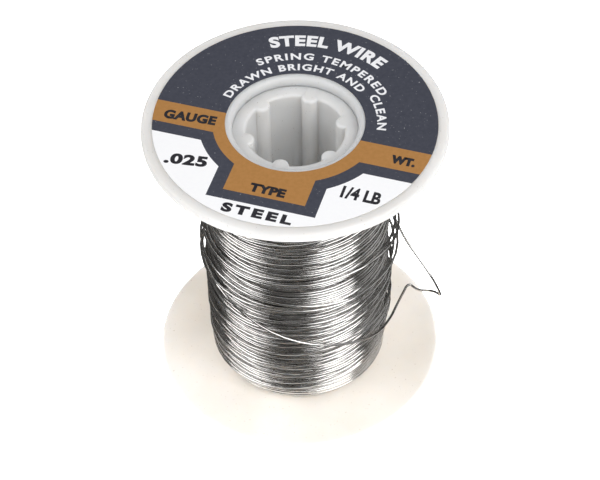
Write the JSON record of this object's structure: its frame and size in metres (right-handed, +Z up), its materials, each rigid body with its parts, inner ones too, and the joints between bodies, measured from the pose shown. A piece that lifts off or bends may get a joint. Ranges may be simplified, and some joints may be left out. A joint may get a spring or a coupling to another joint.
{
  "type": "wire spool",
  "caption": "Flanged plastic spool with a ribbed spindle bore and a round label, wound with bright fine spring wire that has a sprung-out loop.",
  "frame": {"origin": "centre of the bottom flange's outer face, on the surface that the spool stands on", "axes": "+Z up along the spindle bore; +X to the side where the loop of wire has sprung out"},
  "size_m": [0.07, 0.07, 0.0781],
  "materials": {
    "spool_plastic": "natural white translucent polyethylene, satin, lightly scuffed",
    "label": "printed paper in dark blue, ochre and white under a glossy film",
    "wire": "bright drawn stainless steel"
  },
  "bodies": {
    "root": {"bottom_flange": "spool_plastic", "top_flange": "spool_plastic", "ribbed_core": "spool_plastic", "drum": "spool_plastic", "top_label": "label", "wire_winding": "wire", "wire_loop": "wire"}
  },
  "joints": []
}
